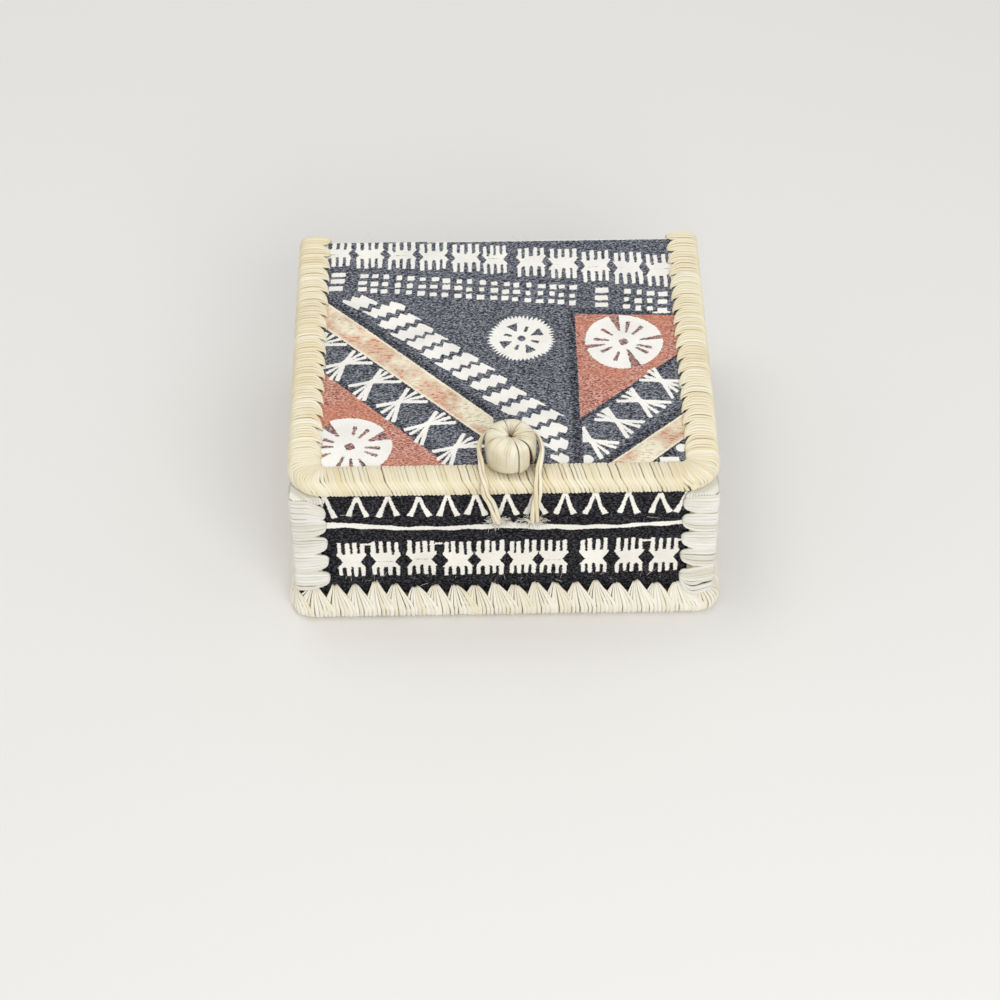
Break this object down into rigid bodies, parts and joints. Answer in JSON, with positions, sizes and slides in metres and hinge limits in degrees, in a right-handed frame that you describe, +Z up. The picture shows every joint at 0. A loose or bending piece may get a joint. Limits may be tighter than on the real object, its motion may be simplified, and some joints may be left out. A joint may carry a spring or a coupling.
{
  "type": "trinket box",
  "caption": "Small lidded box of board covered with printed bark cloth, raffia bound, hinged at the back and shut by a leaf loop over a wrapped button.",
  "frame": {"origin": "on the table, under the middle of the box", "axes": "+X along the width, to the right as seen from the front; +Y to the back, where the lid hinges; +Z up"},
  "size_m": [0.103, 0.0926, 0.0529],
  "materials": {
    "board": "plain brown board, matte",
    "wall_cloth": "felted bark cloth printed near black and cream",
    "lid_cloth": "felted bark cloth printed charcoal, cream, rust and ochre",
    "plain_cloth": "plain undyed bark cloth",
    "cream_raffia": "raffia strands, satin",
    "pale_raffia": "bleached raffia strands, satin",
    "leaf": "dried split leaf, satin",
    "pith": "dry brown pith"
  },
  "bodies": {
    "box": {"floor_board": "board", "base_cloth": "wall_cloth", "floor_lining": "plain_cloth", "front_board": "board", "back_board": "board", "left_board": "board", "right_board": "board", "front_cloth": "wall_cloth", "back_cloth": "wall_cloth", "left_cloth": "wall_cloth", "right_cloth": "wall_cloth", "front_lining": "plain_cloth", "back_lining": "plain_cloth", "left_lining": "plain_cloth", "right_lining": "plain_cloth", "base_binding": "cream_raffia", "front_left_binding": "pale_raffia", "front_right_binding": "pale_raffia", "back_left_binding": "pale_raffia", "back_right_binding": "pale_raffia", "hinge_cloth": "lid_cloth", "loop_knot_left": "leaf", "loop_knot_right": "leaf"},
    "lid": {"lid_board": "board", "lid_cloth": "lid_cloth", "lid_lining": "plain_cloth", "lid_binding": "cream_raffia", "button_core": "pith", "button_leaf_front": "leaf", "button_leaf_front_right": "leaf", "button_leaf_right": "leaf", "button_leaf_back_right": "leaf", "button_leaf_back": "leaf", "button_leaf_back_left": "leaf", "button_leaf_left": "leaf", "button_tie": "cream_raffia", "button_knot": "cream_raffia"},
    "loop": {"loop": "leaf"}
  },
  "joints": [
    {"name": "lid_hinge", "type": "hinge", "parent": "box", "child": "lid", "pos_m": [0, 0.0428, 0.03965], "axis": [-1, 0, 0], "range_deg": [0, 105], "deforming": ["hinge_cloth"]},
    {"name": "loop_swing", "type": "hinge", "parent": "box", "child": "loop", "pos_m": [0.0027, -0.0436, 0.0306], "axis": [1, 0, 0], "range_deg": [0, 140], "deforming": ["loop"]}
  ]
}
